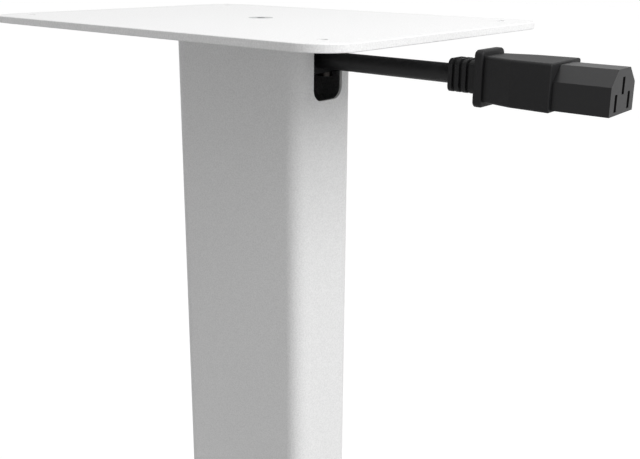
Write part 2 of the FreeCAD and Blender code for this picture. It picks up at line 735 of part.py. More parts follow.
def run_and_arc_wire(points, label):
    """Straight runs joined by tangent arcs, each as large as its two runs allow.

    An arc takes TANGENT_SHARE of the shorter of the two runs that it joins.
    """
    edges, radii = [], []
    position = points[0]
    for before, corner, after in zip(points, points[1:], points[2:]):
        arriving, leaving = unit(corner - before), unit(after - corner)
        turn = arriving.getAngle(leaving)
        setback = TANGENT_SHARE * min((corner - before).Length, (after - corner).Length)
        radius = setback / math.tan(turn / 2)
        radii.append(radius)
        start, end = corner - arriving * setback, corner + leaving * setback
        inward = unit(leaving - arriving)
        middle = corner + inward * (radius / math.cos(turn / 2) - radius)
        edges.append(Part.LineSegment(position, start).toShape())
        edges.append(Part.Arc(start, middle, end).toShape())
        position = end
    edges.append(Part.LineSegment(position, points[-1]).toShape())
    print(f"{label}: arc radii {[round(radius, 1) for radius in radii]} mm")
    return Part.Wire(edges)


def biarc(start, start_way, end, end_way):
    """Two tangent arcs from one point and direction to another."""
    gap = end - start
    ways = start_way + end_way
    spread = 2 * (1 - start_way.dot(end_way))
    along = gap.dot(ways)
    if abs(spread) < STRAIGHT:
        reach = gap.dot(gap) / (4 * gap.dot(end_way))
    else:
        reach = (-along + math.sqrt(along * along + spread * gap.dot(gap))) / spread
    meeting = (start + end + (start_way - end_way) * reach) * 0.5

    def arc(a, way, b):
        chord = b - a
        bend = way - unit(chord) * way.dot(unit(chord))
        if bend.Length < STRAIGHT:
            return Part.LineSegment(a, b).toShape()
        angle = way.getAngle(chord)
        height = chord.Length / 2 * math.tan(angle / 2)
        return Part.Arc(a, (a + b) * 0.5 + unit(bend) * height, b).toShape()

    back = arc(end, -end_way, meeting)
    back.reverse()
    return [arc(start, start_way, meeting), back]


def tube(node, wire):
    """A round cord along a wire, checked against its section times its length."""
    radius = size.cord_diameter.number / 2
    first = wire.OrderedEdges[0]
    start = first.valueAt(first.FirstParameter)
    way = first.tangentAt(first.FirstParameter)
    section = Part.Wire(Part.Circle(start, way, radius).toShape())
    shape = wire.makePipeShell([section], True, False)
    piece = doc.addObject("Part::Feature", node)
    piece.Label = node
    piece.Shape = shape
    PIECES.append(piece)
    expected = math.pi * radius * radius * wire.Length
    print(f"{node}: length {wire.Length:.1f} mm, volume {shape.Volume:.0f} of {expected:.0f} mm3")
    return wire.Length


lead_length = 0.0
top_level = cord_height.number
low_level = cord_low_height.number
rear = column_rear.number
bend = size.cord_bend_radius.number
bend_y = cord_bend_y.number
run_y = cord_run_y.number

# Inside the column: in through the top slot, down the tube and out through the bottom slot.
diagonal = bend * math.sqrt(0.5)
inner_edges = [
    Part.LineSegment(Vector(0, rear, top_level), Vector(0, bend_y, top_level)).toShape(),
    Part.Arc(Vector(0, bend_y, top_level),
             Vector(0, bend_y - diagonal, top_level - bend + diagonal),
             Vector(0, run_y, top_level - bend)).toShape(),
    Part.LineSegment(Vector(0, run_y, top_level - bend),
                     Vector(0, run_y, low_level + bend)).toShape(),
    Part.Arc(Vector(0, run_y, low_level + bend),
             Vector(0, bend_y - diagonal, low_level + bend - diagonal),
             Vector(0, bend_y, low_level)).toShape(),
    Part.LineSegment(Vector(0, bend_y, low_level), Vector(0, rear, low_level)).toShape(),
]
lead_length += tube("cord_inner", Part.Wire(inner_edges))

# Straight from the top slot to the connector.
cord_top = doc.addObject("Part::Cylinder", "cord_top")
cord_top.Label = "cord_top"
bind(cord_top, "Radius", size.cord_diameter / 2)
bind(cord_top, "Height", size.connector_reach)
cord_top.Placement = Placement(Vector(), laid_level)
bind(cord_top, "Placement.Base.y", column_rear)
bind(cord_top, "Placement.Base.z", cord_height)
PIECES.append(cord_top)
lead_length += size.connector_reach.number

# The stored coil: two layers, wound inwards on the floor and outwards again on top of it.
TURNS_IN = 2.0
TURNS_OUT = 2.25
CLIMB_TURNS = 0.5
STEPS_PER_TURN = 4
coil_inner = size.coil_inner_radius.number
coil_pitch = size.coil_pitch.number
cord_size = size.cord_diameter.number
floor_level = cord_size / 2 + size.cord_floor_gap.number
coil_outer_in = coil_inner + coil_pitch * TURNS_IN

# From the bottom slot over the base plate's rear edge and along the floor to the coil.
TAIL_HEADING = 20
base_rear = (size.base_depth / 2).number
hump = base_top.number + cord_size * 1.5
tail_way = Rotation(Vector(0, 0, 1), -TAIL_HEADING).multVec(Vector(0, 1, 0))
tail_landing = Vector(33.5, base_rear + 62, floor_level)
tail_points = [
    Vector(0, rear, low_level),
    Vector(0, rear + 44, low_level),
    Vector(7, base_rear - 22, hump),
    Vector(18, base_rear + 19.5, hump),
    tail_landing,
    tail_landing + tail_way * 36,
]
lead_length += tube("cord_tail", run_and_arc_wire(tail_points, "cord_tail"))

coil_entry = tail_points[-1] + tail_way * cord_size
coil_outward = Rotation(Vector(0, 0, 1), -90).multVec(tail_way)
coil_centre = coil_entry - coil_outward * coil_outer_in - Vector(0, 0, floor_level)


def coil_point(turns):
    """A point of the coil's centre line, from the turns wound before or after the reversal."""
    radius = coil_inner + coil_pitch * abs(turns)
    climb = min(max(turns / CLIMB_TURNS + 0.5, 0.0), 1.0)
    rise = size.coil_layer_rise.number * climb * climb * (3 - 2 * climb)
    angle = 2 * math.pi * (turns + TURNS_IN) - math.radians(TAIL_HEADING)
    return coil_centre + Vector(radius * math.cos(angle), radius * math.sin(angle),
                                floor_level + rise)


def coil_way(turns):
    """The direction of the coil's centre line, from two points close together on it."""
    small = 1e-4
    return unit(coil_point(turns + small) - coil_point(turns - small))


steps = round((TURNS_IN + TURNS_OUT) * STEPS_PER_TURN)
stations = [-TURNS_IN + step / STEPS_PER_TURN for step in range(steps + 1)]
coil_start, coil_start_way = coil_point(stations[0]), tail_way
coil_end = coil_point(stations[-1])
coil_end_way = Rotation(Vector(0, 0, 1), 360 * (TURNS_IN + TURNS_OUT)).multVec(tail_way)
coil_edges = [Part.LineSegment(coil_start - coil_start_way * cord_size, coil_start).toShape()]
for first, second in zip(stations, stations[1:]):
    first_way = coil_start_way if first == stations[0] else coil_way(first)
    second_way = coil_end_way if second == stations[-1] else coil_way(second)
    coil_edges += biarc(coil_point(first), first_way, coil_point(second), second_way)
coil_edges.append(Part.LineSegment(coil_end, coil_end + coil_end_way * cord_size).toShape())
coil_wire = Part.Wire(coil_edges)
lead_length += tube("cord_coil", coil_wire)


def least_gap(wire, diameter, count=900):
    """The least distance between the surfaces of a tube's own turns, measured on points."""
    points = wire.discretize(count)
    spacing = wire.Length / (count - 1)
    skip = int(math.pi * diameter * 2 / spacing) + 1
    least = min((points[i] - points[j]).Length
                for i in range(count) for j in range(i + skip, count))
    return least - diameter


print(f"cord_coil: least gap to itself {least_gap(coil_wire, cord_size):.2f} mm")

# From the coil's upper layer to the plug, which lies beside the coil.
plug_level = (size.plug_front_diameter / 2 + size.cord_floor_gap).number
coil_exit = coil_end + coil_end_way * cord_size
plug_rise = Vector(0, 0, plug_level - coil_exit.z)
end_points = [
    coil_exit,
    coil_exit + coil_end_way * 20,
    coil_exit + coil_end_way * 44 + plug_rise,
    coil_exit + coil_end_way * 64 + plug_rise,
]
lead_length += tube("cord_end", run_and_arc_wire(end_points, "cord_end"))
print(f"whole lead: {lead_length:.0f} mm")

# ---------------------------------------------------------------- mains plug
# Two-pin plug with side earth clips, built along its own Z axis and laid on the floor.
plug_start = end_points[-1]
PLUG_ROLL = 45
plug_laid = Rotation(Vector(0, 0, 1), coil_end_way).multiply(
    Rotation(Vector(0, 0, 1), PLUG_ROLL))


def new_plug_body(node, several=False):
    return new_body(node, x=plug_start.x, y=plug_start.y, z=plug_start.z, rotation=plug_laid,
                    several=several)


plug_body = new_plug_body("plug_body")
relief = sketch_on(plug_body, "relief", "XZ_Plane")
RELIEF_RIBS = 5
RIB_SHARE = 0.6
rib_step = size.plug_relief_length / RELIEF_RIBS
relief_points = [(0, 0)]
for number in range(RELIEF_RIBS):
    grown = (size.plug_relief_end - size.plug_relief_start) * (number / (RELIEF_RIBS - 1))
    crest = size.plug_relief_start + grown
    valley = crest - size.plug_rib_depth
    rib_foot = rib_step * number
    rib_end = rib_foot + rib_step * RIB_SHARE
    relief_points += [(crest, rib_foot), (crest, rib_end), (valley, rib_end),
                      (valley, rib_foot + rib_step)]
relief_points.append((0, size.plug_relief_length))
outline(relief, relief_points)
revolve(plug_body, relief)
GRIP_SWELL_PLACE = 0.6
GRIP_REAR_ROUNDNESS = 0.9
grip_end = size.plug_relief_length + size.plug_grip_length
grip_swell = size.plug_relief_length + size.plug_grip_length * GRIP_SWELL_PLACE
grip_corner = size.plug_grip_height / 3
grip_sections = []
for name, width, height, radius, lift in (
        ("grip_rear", size.plug_relief_end * 2, size.plug_relief_end * 2,
         size.plug_relief_end * GRIP_REAR_ROUNDNESS, size.plug_relief_length),
        ("grip_middle", size.plug_grip_width, size.plug_grip_height, grip_corner, grip_swell),
        ("grip_front", size.plug_grip_width, size.plug_grip_height, grip_corner, grip_end)):
    section = sketch_on(plug_body, name, lift=lift)
    rounded_rectangle(section, width, height, radius)
    grip_sections.append(section)
plug_grip = plug_body.newObject("PartDesign::AdditiveLoft", "plug_grip")
plug_grip.Profile = grip_sections[0]
plug_grip.Sections = grip_sections[1:]
plug_grip.Ruled = True
front = sketch_on(plug_body, "front", lift=grip_end)
circle(front, size.plug_front_diameter)
pad(plug_body, front, size.plug_front_length)
plug_face = grip_end + size.plug_front_length
front_radius = size.plug_front_diameter / 2
for side in (-1, 1):
    notch = sketch_on(plug_body, f"notch_{side + 1}", lift=plug_face,
                      shift_x=front_radius * side)
    rectangle(notch, size.plug_notch_depth * 2, size.plug_notch_width)
    pocket(plug_body, notch, size.plug_front_length)
    recess = sketch_on(plug_body, f"clip_recess_{side + 1}", lift=plug_face,
                       shift_y=front_radius * side)
    rectangle(recess, size.plug_clip_width + size.fit_clearance * 2,
              size.plug_clip_recess * 2)
    pocket(plug_body, recess, size.plug_front_length)

plug_pins = new_plug_body("plug_pins", several=True)
pin = sketch_on(plug_pins, "pin", lift=plug_face, shift_x=-size.plug_pin_spacing / 2)
circle(pin, size.plug_pin_diameter)
row_of(plug_pins, pad(plug_pins, pin, size.plug_pin_length), 2, size.plug_pin_spacing)

plug_clips = new_plug_body("plug_earth_clips", several=True)
clip_seat = front_radius - size.plug_clip_recess + size.plug_clip_thickness / 2
clip = sketch_on(plug_clips, "clip", lift=grip_end + size.plug_clip_margin, shift_y=-clip_seat)
rectangle(clip, size.plug_clip_width, size.plug_clip_thickness)
clip_length = size.plug_front_length - size.plug_clip_margin * 2
row_of(plug_clips, pad(plug_clips, clip, clip_length), 2, clip_seat * 2, "Y_Axis")

# ---------------------------------------------------------------- checks and files
doc.recompute()
for thing in doc.Objects:
    if {"Invalid", "Error"} & set(thing.State):
        raise RuntimeError(f"{thing.Name} did not build: {thing.State}")
for piece in PIECES:
    if piece.Shape.isNull() or not piece.Shape.isValid():
        raise RuntimeError(f"{piece.Label} has no valid shape")

os.makedirs("parts", exist_ok=True)
for piece in PIECES:
    piece.Shape.exportStep(f"parts/{piece.Label}.step")
    box = piece.Shape.optimalBoundingBox(False)
    print(f"{piece.Label}: {len(piece.Shape.Solids)} solids, "
          f"X {box.XMin:.1f}..{box.XMax:.1f} Y {box.YMin:.1f}..{box.YMax:.1f} "
          f"Z {box.ZMin:.1f}..{box.ZMax:.1f}")
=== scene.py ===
"""Speaker stand: the finish of each piece, its mains lead, and a plain white studio round it.

Metres, +Z up. The origin is on the floor under the column, and the lead leaves towards +Y.
"""
import math

import bpy
from mathutils import Euler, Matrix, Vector


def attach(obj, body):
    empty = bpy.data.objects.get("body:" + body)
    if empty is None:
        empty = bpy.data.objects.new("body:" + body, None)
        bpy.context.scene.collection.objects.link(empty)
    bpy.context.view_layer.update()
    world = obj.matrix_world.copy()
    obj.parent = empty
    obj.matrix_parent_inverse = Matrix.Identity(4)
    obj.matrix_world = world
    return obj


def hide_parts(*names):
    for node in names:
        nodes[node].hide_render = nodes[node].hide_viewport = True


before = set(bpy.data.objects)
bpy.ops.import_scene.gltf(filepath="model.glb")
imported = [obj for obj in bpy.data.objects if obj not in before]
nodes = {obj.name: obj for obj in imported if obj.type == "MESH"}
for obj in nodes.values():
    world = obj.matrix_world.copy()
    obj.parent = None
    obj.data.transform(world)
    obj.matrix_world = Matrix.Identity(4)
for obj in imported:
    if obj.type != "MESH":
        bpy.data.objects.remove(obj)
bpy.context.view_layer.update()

# ---------------------------------------------------------------- camera
# Stands behind the column and to its left, a little above the top plate, as the photograph was
# taken. The heading is measured from +X towards +Y, and the dip is below the horizon. The lens
# shift is less than the photograph's, so that other views keep the whole stand in the frame.
CAMERA_PLACE = (0.30237, 0.28947, 0.72797)
CAMERA_HEADING = math.radians(219.540)
CAMERA_DIP = math.radians(15.082)
CAMERA_ROLL = math.radians(0.454)
SENSOR_WIDTH = 36
FOCAL_LENGTH = 45.322
LENS_SHIFT = -0.08
NEAR_CLIP = 0.01
FAR_CLIP = 60
camera = bpy.data.objects.new("camera", bpy.data.cameras.new("camera"))
camera.data.sensor_width = SENSOR_WIDTH
camera.data.lens = FOCAL_LENGTH
camera.data.shift_y = LENS_SHIFT
camera.data.clip_start = NEAR_CLIP
camera.data.clip_end = FAR_CLIP
camera.location = CAMERA_PLACE
tilt = Euler((math.pi / 2 - CAMERA_DIP, 0, CAMERA_HEADING - math.pi / 2)).to_matrix()
camera.rotation_euler = (tilt @ Euler((0, 0, CAMERA_ROLL)).to_matrix()).to_euler()
bpy.context.scene.collection.objects.link(camera)
bpy.context.scene.camera = camera
bpy.context.scene.view_settings.view_transform = "Standard"


# ---------------------------------------------------------------- lead, top stretch
# Three-core mains cord in an extruded PVC sheath. It comes straight out of the column's top slot
# and carries the appliance connector for the speaker.
def linear(hex_colour):
    """An sRGB hex colour as linear RGBA."""
    channels = [int(hex_colour[start:start + 2], 16) / 255 for start in (1, 3, 5)]
    straight = [c / 12.92 if c <= 0.04045 else ((c + 0.055) / 1.055) ** 2.4 for c in channels]
    return (*straight, 1.0)


def add_node(tree, kind, inputs=None, **settings):
    """Adds a node with its settings, and sets or links the named inputs."""
    node = tree.nodes.new(kind)
    for name, value in settings.items():
        setattr(node, name, value)
    for name, value in (inputs or {}).items():
        if isinstance(value, bpy.types.NodeSocket):
            tree.links.new(value, node.inputs[name])
        else:
            node.inputs[name].default_value = value
    return node


def start_material(name):
    """A new material with an empty node tree, and the object coordinates that its patterns use."""
    material = bpy.data.materials.new(name)
    material.use_nodes = True
    tree = material.node_tree
    tree.nodes.clear()
    place = add_node(tree, "ShaderNodeTexCoord").outputs["Object"]
    return material, tree, place


# Plasticised PVC, extruded: a smooth satin black with a slight waviness along the sheath. The
# waves are 3 mm long, and the fine grain of 0.4 mm is drawn coarser than the real one.
SHEATH_WAVE = 0.003
SHEATH_GRAIN = 0.0004
sheath_pvc, tree, place = start_material("extruded_pvc_sheath")
wave = add_node(tree, "ShaderNodeTexNoise", {"Vector": place, "Scale": 1 / SHEATH_WAVE, "Detail": 1})
grain = add_node(tree, "ShaderNodeTexNoise", {"Vector": place, "Scale": 1 / SHEATH_GRAIN, "Detail": 2})
tint = add_node(tree, "ShaderNodeMix", {"Factor": wave.outputs["Fac"], "A": linear("#131314"),
                                        "B": linear("#1B1B1C")}, data_type="RGBA")
gloss = add_node(tree, "ShaderNodeMapRange", {"Value": grain.outputs["Fac"], "To Min": 0.42,
                                              "To Max": 0.56})
relief = add_node(tree, "ShaderNodeBump", {"Height": wave.outputs["Fac"], "Strength": 0.12,
                                           "Distance": 0.0004})
surface = add_node(tree, "ShaderNodeBsdfPrincipled", {
    "Base Color": tint.outputs["Result"], "Roughness": gloss.outputs["Result"], "IOR": 1.52,
    "Specular IOR Level": 0.2, "Normal": relief.outputs["Normal"]})
add_node(tree, "ShaderNodeOutputMaterial", {"Surface": surface.outputs["BSDF"]})

CORD_DIAMETER = 0.0086


def cord_curve(name, route):
    """A round cord on a smooth spline with the route's points as its control points."""
    curve = bpy.data.curves.new(name, "CURVE")
    curve.dimensions = "3D"
    curve.bevel_depth = CORD_DIAMETER / 2
    curve.bevel_resolution = 8
    curve.resolution_u = 12
    curve.use_fill_caps = True
    spline = curve.splines.new("NURBS")
    spline.points.add(len(route) - 1)
    for point, spot in zip(spline.points, route):
        point.co = (*spot, 1)
    spline.order_u = 3
    spline.use_endpoint_u = True
    spline.use_smooth = True
    cord = bpy.data.objects.new(name, curve)
    bpy.context.scene.collection.objects.link(cord)
    curve.materials.append(sheath_pvc)
    return cord


TOP_EXIT = (0, 0.0445, 0.682)
lead_top = cord_curve("lead_top", [TOP_EXIT, (0, 0.0795, 0.682), (0, 0.1146, 0.682)])
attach(lead_top, "stand")
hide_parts("cord_top")

# ---------------------------------------------------------------- lead, tail and stored coil
# The same cord comes out of the bottom slot, crosses the base plate's rear edge and lies on the
# floor. What isn't needed is wound inwards on the floor and outwards again on top, as two layers.
TAIL_EXIT = (0, 0.0445, 0.0206)
TAIL_ROUTE = [TAIL_EXIT, (0, 0.0885, 0.0206), (0.007, 0.138, 0.0289), (0.018, 0.1795, 0.0289),
              (0.0335, 0.222, 0.0046), (0.0458, 0.2558, 0.0046)]
TAIL_HEADING = math.radians(20)
COIL_ENTRY = Vector((0.0488, 0.2639, 0.0046))
# The radius where the winding reverses, and the steps from turn to turn and from layer to layer.
COIL_INNER = 0.04175
COIL_PITCH = 0.0094
COIL_RISE = 0.0093
TURNS_IN = 2.0
TURNS_OUT = 2.25
CLIMB_TURNS = 0.5
POINTS_PER_TURN = 16
tail_way = Vector((math.sin(TAIL_HEADING), math.cos(TAIL_HEADING), 0))
coil_outward = Vector((tail_way.y, -tail_way.x, 0))
coil_centre = COIL_ENTRY - coil_outward * (COIL_INNER + COIL_PITCH * TURNS_IN)
# The spline runs inside its control points, so these stand out by what it would lose.
STAND_OUT = 1 / (0.75 + 0.25 * math.cos(2 * math.pi / POINTS_PER_TURN))


def coil_point(turns):
    """A control point of the coil, from the turns wound before or after it reverses."""
    radius = (COIL_INNER + COIL_PITCH * abs(turns)) * STAND_OUT
    climb = min(max(turns / CLIMB_TURNS + 0.5, 0), 1)
    rise = COIL_RISE * climb * climb * (3 - 2 * climb)
    angle = 2 * math.pi * (turns + TURNS_IN) - TAIL_HEADING
    return coil_centre + Vector((radius * math.cos(angle), radius * math.sin(angle), rise))


steps = round((TURNS_IN + TURNS_OUT) * POINTS_PER_TURN)
coil_route = [coil_point(step / POINTS_PER_TURN - TURNS_IN) for step in range(1, steps)]
COIL_EXIT_ROUTE = [(0.0057, 0.3468, 0.0139), (-0.0131, 0.3536, 0.0139), (-0.0357, 0.3618, 0.0178),
                   (-0.0549, 0.3686, 0.0178)]
lead_tail = cord_curve("lead_tail", TAIL_ROUTE + coil_route + COIL_EXIT_ROUTE)
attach(lead_tail, "stand")
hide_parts("cord_tail", "cord_coil", "cord_end")


# ---------------------------------------------------------------- lead inside the column
# The stretch between the two slots runs inside the tube, in the same sheath. It is a solid piece
# of the CAD, which keeps its shape and only gets its material here.
def dress(material, *names):
    """Gives CAD pieces their material."""
    for name in names:
        nodes[name].data.materials.clear()
        nodes[name].data.materials.append(material)


dress(sheath_pvc, "cord_inner")

# ---------------------------------------------------------------- connector's moulded grip
# Soft PVC moulded over the cord and the insert: a ribbed strain relief, a square flange and a
# grip that widens to a shoulder. It comes out of the mould with a matte, faintly sparked skin:
# sparks of 0.6 mm, drawn coarser than real ones, and clouds in the black 20 mm across.
MOULD_SPARK = 0.0006
MOULD_CLOUD = 0.02
moulded_pvc, tree, place = start_material("moulded_soft_pvc")
spark = add_node(tree, "ShaderNodeTexNoise", {"Vector": place, "Scale": 1 / MOULD_SPARK, "Detail": 2})
cloud = add_node(tree, "ShaderNodeTexNoise", {"Vector": place, "Scale": 1 / MOULD_CLOUD, "Detail": 2})
tint = add_node(tree, "ShaderNodeMix", {"Factor": cloud.outputs["Fac"], "A": linear("#121213"),
                                        "B": linear("#19191A")}, data_type="RGBA")
gloss = add_node(tree, "ShaderNodeMapRange", {"Value": spark.outputs["Fac"], "To Min": 0.48,
                                              "To Max": 0.64})
relief = add_node(tree, "ShaderNodeBump", {"Height": spark.outputs["Fac"], "Strength": 0.15,
                                           "Distance": 0.0002})
surface = add_node(tree, "ShaderNodeBsdfPrincipled", {
    "Base Color": tint.outputs["Result"], "Roughness": gloss.outputs["Result"], "IOR": 1.52,
    "Specular IOR Level": 0.2, "Normal": relief.outputs["Normal"]})
add_node(tree, "ShaderNodeOutputMaterial", {"Surface": surface.outputs["BSDF"]})
dress(moulded_pvc, "iec_overmould")

# ---------------------------------------------------------------- connector's insert
# Hard thermoplastic block with two bevelled corners and three contact slots. It is a little
# greyer and tighter in gloss than the grip round it. Its sparks of 0.4 mm are drawn coarser than
# real ones.
INSERT_SPARK = 0.0004
insert_plastic, tree, place = start_material("moulded_hard_thermoplastic")
spark = add_node(tree, "ShaderNodeTexNoise", {"Vector": place, "Scale": 1 / INSERT_SPARK, "Detail": 2})
tint = add_node(tree, "ShaderNodeMix", {"Factor": spark.outputs["Fac"], "A": linear("#161617"),
                                        "B": linear("#1E1E1F")}, data_type="RGBA")
relief = add_node(tree, "ShaderNodeBump", {"Height": spark.outputs["Fac"], "Strength": 0.06,
                                           "Distance": 0.0001})
surface = add_node(tree, "ShaderNodeBsdfPrincipled", {
    "Base Color": tint.outputs["Result"], "Roughness": 0.42, "IOR": 1.55,
    "Specular IOR Level": 0.2, "Normal": relief.outputs["Normal"]})
add_node(tree, "ShaderNodeOutputMaterial", {"Surface": surface.outputs["BSDF"]})
dress(insert_plastic, "iec_insert")

# ---------------------------------------------------------------- contacts
# Brass strip, stamped and folded, deep in the three slots: yellow metal with rolling marks. The
# marks run along Y, the way the contacts point. They are 4000 to the metre across (0.25 mm) and
# 300 to the metre along (3.3 mm).
MARKS_ACROSS = 4000
MARKS_ALONG = 300
brass_strip, tree, place = start_material("stamped_brass")
rolled = add_node(tree, "ShaderNodeMapping", {
    "Vector": place, "Scale": (MARKS_ACROSS, MARKS_ALONG, MARKS_ACROSS)})
marks = add_node(tree, "ShaderNodeTexNoise", {"Vector": rolled.outputs["Vector"], "Scale": 1,
                                              "Detail": 2})
gloss = add_node(tree, "ShaderNodeMapRange", {"Value": marks.outputs["Fac"], "To Min": 0.25,
                                              "To Max": 0.45})
surface = add_node(tree, "ShaderNodeBsdfPrincipled", {
    "Base Color": linear("#D8B25C"), "Metallic": 1.0, "Roughness": gloss.outputs["Result"]})
add_node(tree, "ShaderNodeOutputMaterial", {"Surface": surface.outputs["BSDF"]})
dress(brass_strip, "iec_contacts")

# ---------------------------------------------------------------- mains plug
# The plug's body is the same soft PVC as the connector's grip. Its pins and side clips are
# nickel-plated brass: bright, slightly warm metal. Its marks of 0.8 mm are drawn coarser than
# real turning marks.
dress(moulded_pvc, "plug_body")
TURNING_MARK = 0.0008
nickel_plate, tree, place = start_material("nickel_plated_brass")
turning = add_node(tree, "ShaderNodeTexNoise", {
    "Vector": place, "Scale": 1 / TURNING_MARK, "Detail": 3})
gloss = add_node(tree, "ShaderNodeMapRange", {"Value": turning.outputs["Fac"], "To Min": 0.18,
                                              "To Max": 0.34})
surface = add_node(tree, "ShaderNodeBsdfPrincipled", {
    "Base Color": linear("#D9D4CB"), "Metallic": 1.0, "Roughness": gloss.outputs["Result"]})
add_node(tree, "ShaderNodeOutputMaterial", {"Surface": surface.outputs["BSDF"]})
dress(nickel_plate, "plug_pins", "plug_earth_clips")


# ---------------------------------------------------------------- top plate and base plate
# Laser-cut steel sheet, powder coated white. The baked powder leaves a fine sandy texture, whose
# real grain of about 0.2 mm is drawn at 0.7 mm so that it shows.
POWDER_GRAIN = 0.0007


def powder_coat(name, colour_low, colour_high, grain_strength, painted_shade_places=None):
    """A baked powder coat. Where a further function is given, it paints shade in places in another
    colour.
    """
    material, tree, place = start_material(name)
    grain = add_node(tree, "ShaderNodeTexNoise", {"Vector": place, "Scale": 1 / POWDER_GRAIN,
                                                  "Detail": 3, "Roughness": 0.6})
    colour = add_node(tree, "ShaderNodeMix", {
        "Factor": grain.outputs["Fac"], "A": linear(colour_low), "B": linear(colour_high)},
        data_type="RGBA").outputs["Result"]
    if painted_shade_places:
        colour = painted_shade_places(tree, place, colour)
    relief = add_node(tree, "ShaderNodeBump", {
        "Height": grain.outputs["Fac"], "Strength": grain_strength, "Distance": 0.00025})
    surface = add_node(tree, "ShaderNodeBsdfPrincipled", {
        "Base Color": colour, "Roughness": 0.5, "IOR": 1.5, "Normal": relief.outputs["Normal"]})
    add_node(tree, "ShaderNodeOutputMaterial", {"Surface": surface.outputs["BSDF"]})
    return material


plate_coat = powder_coat("white_powder_coat", "#D2D2D2", "#FCFCFC", 0.35)
dress(plate_coat, "top_plate", "plate_tabs", "base_plate")

# ---------------------------------------------------------------- column
# Rectangular steel tube with rounded corners, coated like the plates on the outside and on the
# slots' cut edges. Its inside gets painted shade: a mottled grey, darker than the coat, in
# flakes of 0.9 mm.
PAINTED_SHADE_FLAKE = 0.0009
# The centres of the tube's corner arcs, from its axis. The arcs inside it have a radius of 6.8 mm,
# so what lies nearer to the centres than a little more than that is the inside, with painted shade.
CORNER_CENTRES = (0.0132, 0.0362, 0)
PAINTED_SHADE_RADIUS = 0.00685


def painted_shade_inside(tree, place, outside):
    """The colour over the outside, and painted shade in a mottled grey where the surface is inside the
    tube.
    """
    # Painted shade: a mottled grey that stands for the shade inside the tube.
    shade_mottle = add_node(tree, "ShaderNodeTexNoise", {"Vector": place, "Scale": 1 / PAINTED_SHADE_FLAKE,
                                                   "Detail": 2})
    painted_shade_colour = add_node(tree, "ShaderNodeMix", {
        "Factor": shade_mottle.outputs["Fac"], "A": linear("#58585A"), "B": linear("#A6A6A8")},
        data_type="RGBA").outputs["Result"]
    side = add_node(tree, "ShaderNodeVectorMath", {0: place}, operation="ABSOLUTE")
    level = add_node(tree, "ShaderNodeVectorMath", {0: side.outputs[0], 1: (1, 1, 0)},
                     operation="MULTIPLY")
    beyond = add_node(tree, "ShaderNodeVectorMath", {0: level.outputs[0], 1: CORNER_CENTRES},
                      operation="SUBTRACT")
    reach = add_node(tree, "ShaderNodeVectorMath", {0: beyond.outputs[0]}, operation="MAXIMUM")
    away = add_node(tree, "ShaderNodeVectorMath", {0: reach.outputs[0]}, operation="LENGTH")
    inside = add_node(tree, "ShaderNodeMath", {0: away.outputs["Value"], 1: PAINTED_SHADE_RADIUS},
                      operation="LESS_THAN")
    return add_node(tree, "ShaderNodeMix", {
        "Factor": inside.outputs[0], "A": outside, "B": painted_shade_colour},
        data_type="RGBA").outputs["Result"]


# The column's white coat, with painted shade inside the tube.
column_coat = powder_coat("white_powder_coat_bare_inside", "#CFCFCF", "#FBFBFB", 0.7, painted_shade_inside)
dress(column_coat, "column")

# ---------------------------------------------------------------- screws, nuts, studs, brackets
# Turned or pressed steel with clear zinc plating, which gives a mid-grey metal, slightly cloudy,
# with clouds of 2 mm. The top screw and the base screws are countersunk and turn with a hexagon
# key.
ZINC_CLOUD = 0.002
zinc_plate, tree, place = start_material("zinc_plated_steel")
cloud = add_node(tree, "ShaderNodeTexNoise", {"Vector": place, "Scale": 1 / ZINC_CLOUD, "Detail": 3})
tint = add_node(tree, "ShaderNodeMix", {"Factor": cloud.outputs["Fac"], "A": linear("#8C8D8E"),
                                        "B": linear("#B6B7B8")}, data_type="RGBA")
gloss = add_node(tree, "ShaderNodeMapRange", {"Value": cloud.outputs["Fac"], "To Min": 0.28,
                                              "To Max": 0.42})
surface = add_node(tree, "ShaderNodeBsdfPrincipled", {
    "Base Color": tint.outputs["Result"], "Metallic": 1.0, "Roughness": gloss.outputs["Result"]})
add_node(tree, "ShaderNodeOutputMaterial", {"Surface": surface.outputs["BSDF"]})
dress(zinc_plate, "plate_screw", "top_bracket", "weld_nut", "base_screws", "bottom_bracket",
      "lock_nuts")

# ---------------------------------------------------------------- cord clamp
# Two halves of moulded nylon, matte black, squeeze the lead. Their screws are blackened steel with
# a slightly uneven brown-black oxide, in patches of 1.5 mm. The nylon's sparks of 0.9 mm are drawn
# coarser than real ones.
NYLON_SPARK = 0.0009
moulded_nylon, tree, place = start_material("moulded_nylon")
spark = add_node(tree, "ShaderNodeTexNoise", {"Vector": place, "Scale": 1 / NYLON_SPARK, "Detail": 2})
tint = add_node(tree, "ShaderNodeMix", {"Factor": spark.outputs["Fac"], "A": linear("#131314"),
                                        "B": linear("#1C1C1D")}, data_type="RGBA")
relief = add_node(tree, "ShaderNodeBump", {"Height": spark.outputs["Fac"], "Strength": 0.15,
                                           "Distance": 0.0003})
surface = add_node(tree, "ShaderNodeBsdfPrincipled", {
    "Base Color": tint.outputs["Result"], "Roughness": 0.7, "IOR": 1.53,
    "Specular IOR Level": 0.1, "Normal": relief.outputs["Normal"]})
add_node(tree, "ShaderNodeOutputMaterial", {"Surface": surface.outputs["BSDF"]})
dress(moulded_nylon, "cord_saddle", "cord_clamp")
OXIDE_PATCH = 0.0015
black_oxide, tree, place = start_material("black_oxide_steel")
patches = add_node(tree, "ShaderNodeTexNoise", {"Vector": place, "Scale": 1 / OXIDE_PATCH, "Detail": 3})
tint = add_node(tree, "ShaderNodeMix", {"Factor": patches.outputs["Fac"], "A": linear("#252423"),
                                        "B": linear("#3A3735")}, data_type="RGBA")
surface = add_node(tree, "ShaderNodeBsdfPrincipled", {
    "Base Color": tint.outputs["Result"], "Metallic": 1.0, "Roughness": 0.38})
add_node(tree, "ShaderNodeOutputMaterial", {"Surface": surface.outputs["BSDF"]})
dress(black_oxide, "clamp_screws")

